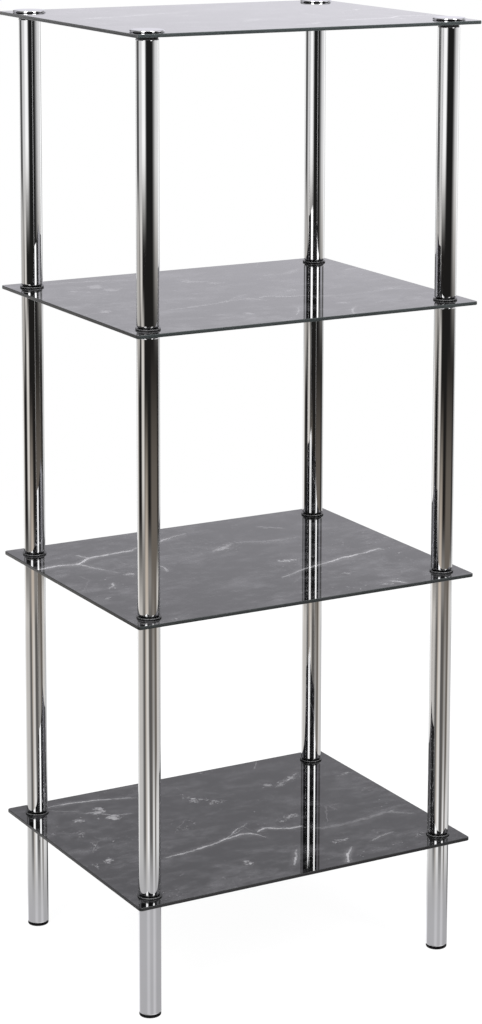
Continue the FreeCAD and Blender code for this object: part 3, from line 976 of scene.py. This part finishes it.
# left: pale wall that ends a little over the horizon, with a bright patch
panel(lit(0.76), -88, -16, (12, 26), -8.4, 1, (2, 3))
panel(lit(1.20), -52, -18, (20, 16), -7.6, 1, (1.4, 3))
panel(lit(0.52), -142, -86, (30, 14), -11.6, -8.2, 1.5)
# left: pale strip lower down
panel(lit(0.80), -77, -53, (16, 14), -10.6, -8.1, 1.5)
panel(lit(0.80), -64, -37, (18, 18), -15.0, -10.6, (2.5, 1.5))
# right: grey wall that gets lighter to the side
panel(lit(0.84), 72, 152, (50, 12), -9.4, 2, (5, 3))
panel(lit(1.20), 118, 152, (30, 12), -9.4, 2, (5, 3))
# two tall soft lamps, left and right of the camera, brighter towards the top
for b0, b1 in ((-34, -14), (38, 54)):
    panel(lit(4.2), b0, b1, 4, 6.5, 62, (4, 8))
    panel(lit(7.5), b0, b1, 4, 17, 62, (6, 8))
    panel(lit(11.0), b0, b1, 4, 28, 62, (8, 8))
# floor in front: pale, with darker gaps, growing lighter close by
panel(lit(0.62), -400, 400, 10, -95, -16.65, (2, 0.8))
panel(lit(1.0), -400, -122, (10, 40), -22, -15.8, (2, 1.4))
panel(lit(0.12), -60, 84, (30, 22), -22, -16, (2.5, 2))
panel(lit(0.62, WARM), -32, -4, (24, 20), -24, -13.8, (2, 4))
panel(lit(0.76), -24, -2, (22, 18), -24, -16.6, (2, 1.5))
panel(lit(1.08), -15, 3, (18, 18), -24, -19.8, (2, 3))
panel(lit(0.16, WARM), 30, 100, (24, 24), -24, -12.8, (2, 4))
panel(lit(0.40), 37, 60, (18, 18), -24, -16.8, (2, 3))
panel(lit(1.0), 41, 57, (16, 16), -24, -19.8, (2, 3))
panel(lit(0.70), 87, 124, (16, 30), -24, -15.8, (2, 1))
panel(lit(0.84), 76, 108, (14, 20), -24, -20.0, (2, 1.6))
panel(lit(0.51), -400, 400, 10, -95, -21.8, 1.6)
panel(lit(0.64), -26, 4, (20, 20), -95, -21.8, 1.6)
panel(lit(0.66), 38, 64, (18, 18), -95, -21.8, 1.6)
panel(lit(0.47), 78, 400, (16, 10), -95, -21.8, 1.6)
panel(lit(1.0), -400, -127, (10, 14), -95, -22, 1.6)
# close to the feet: darker strips between pale ones
panel(lit(0.06), 130, 166, (10, 12), -22.3, -20.5, (1.2, 2))
panel(lit(0.05), 104, 142, (14, 14), -95, -25.4, 1.6)
panel(lit(1.05), 28, 72, (22, 20), -95, -25.4, 1.6)
panel(lit(0.08), -76, -10, (24, 24), -95, -25.4, 1.6)
panel(lit(0.95), -400, 400, 10, -95, -44, 16)
# the room and floor in front are a little warm, the floor close to the feet a little cool
warm = wg.math("MULTIPLY", wg.window(BEAR, -128, 116, 24), wg.window(HIGH, -19.5, -8.5, 7, 4))
studio = wg.mix(warm, studio, (1.040, 0.994, 0.935, 1.0), "MULTIPLY")
studio = wg.mix(wg.window(HIGH, -44.0, -22.0, 16, 1.6), studio, (1.0, 0.992, 1.026, 1.0), "MULTIPLY")

path = wg.add("ShaderNodeLightPath")
seen = wg.add("ShaderNodeBackground")
seen.inputs["Color"].default_value = (1.0, 1.0, 1.0, 1.0)
seen.inputs["Strength"].default_value = 1.0
around = wg.add("ShaderNodeBackground")
wg.put(around.inputs["Color"], studio)
around.inputs["Strength"].default_value = 1.0
w_mix = wg.add("ShaderNodeMixShader")
wg.put(w_mix.inputs[0], path.outputs["Is Camera Ray"])
wg.put(w_mix.inputs[1], around.outputs[0])
wg.put(w_mix.inputs[2], seen.outputs[0])
w_out = wg.add("ShaderNodeOutputWorld")
wg.put(w_out.inputs["Surface"], w_mix.outputs[0])

# floor: a pale disc that fades out into the white ground
bm = bmesh.new()
turn(bm, [(0.0, 0.0), (400.0, 0.0), (900.0, 0.0), (1500.0, 0.0), (2400.0, 0.0)], 0.0, 0.0, 96, closed=False)
for f in bm.faces:
    f.smooth = False
floor_mesh = bpy.data.meshes.new("floor")
bm.normal_update()
if bm.faces[:][0].normal.z < 0:
    bmesh.ops.reverse_faces(bm, faces=bm.faces[:])
bm.to_mesh(floor_mesh)
bm.free()
floor = bpy.data.objects.new("floor", floor_mesh)
bpy.context.scene.collection.objects.link(floor)
floor.location.z = -0.0004
floor.visible_glossy = False
f_mat = bpy.data.materials.new("floor_pale")
f_mat.use_nodes = True
fg = Graph(f_mat.node_tree)
fg.nodes.clear()
f_pos = fg.add("ShaderNodeTexCoord").outputs["Object"]
f_far = fg.vmath("LENGTH", f_pos)
f_grain = fg.noise(f_pos, 3.0, 3.0, 0.5).outputs[0]
f_diff = fg.add("ShaderNodeBsdfDiffuse")
fg.put(f_diff.inputs["Color"], fg.mix(f_grain, grey(0.09), grey(0.10)))
f_glow = fg.add("ShaderNodeEmission")
f_glow.inputs["Color"].default_value = grey(1.0)
f_glow.inputs["Strength"].default_value = 0.955
f_add = fg.add("ShaderNodeAddShader")
fg.put(f_add.inputs[0], f_diff.outputs[0])
fg.put(f_add.inputs[1], f_glow.outputs[0])
f_clear = fg.add("ShaderNodeBsdfTransparent")
f_mixer = fg.add("ShaderNodeMixShader")
fg.put(f_mixer.inputs[0], fg.ramp(f_far, 0.9, 2.3))
fg.put(f_mixer.inputs[1], f_add.outputs[0])
fg.put(f_mixer.inputs[2], f_clear.outputs[0])
f_out = fg.add("ShaderNodeOutputMaterial")
fg.put(f_out.inputs["Surface"], f_mixer.outputs[0])
floor_mesh.materials.append(f_mat)

# overhead soft light, for the print and the floor
lamp = bpy.data.lights.new("overhead", "AREA")
lamp.shape = "DISK"
lamp.size = 3.2
lamp.energy = 20.0
lamp_obj = bpy.data.objects.new("overhead", lamp)
lamp_obj.location = (-0.5, -0.6, 3.4)
lamp_obj.rotation_euler = (math.radians(-8.0), math.radians(-8.0), 0.0)
lamp_obj.visible_glossy = False
lamp_obj.visible_camera = False
bpy.context.scene.collection.objects.link(lamp_obj)

bpy.context.scene.view_settings.view_transform = "Standard"
bpy.context.scene.view_settings.look = "None"

bpy.context.view_layer.update()
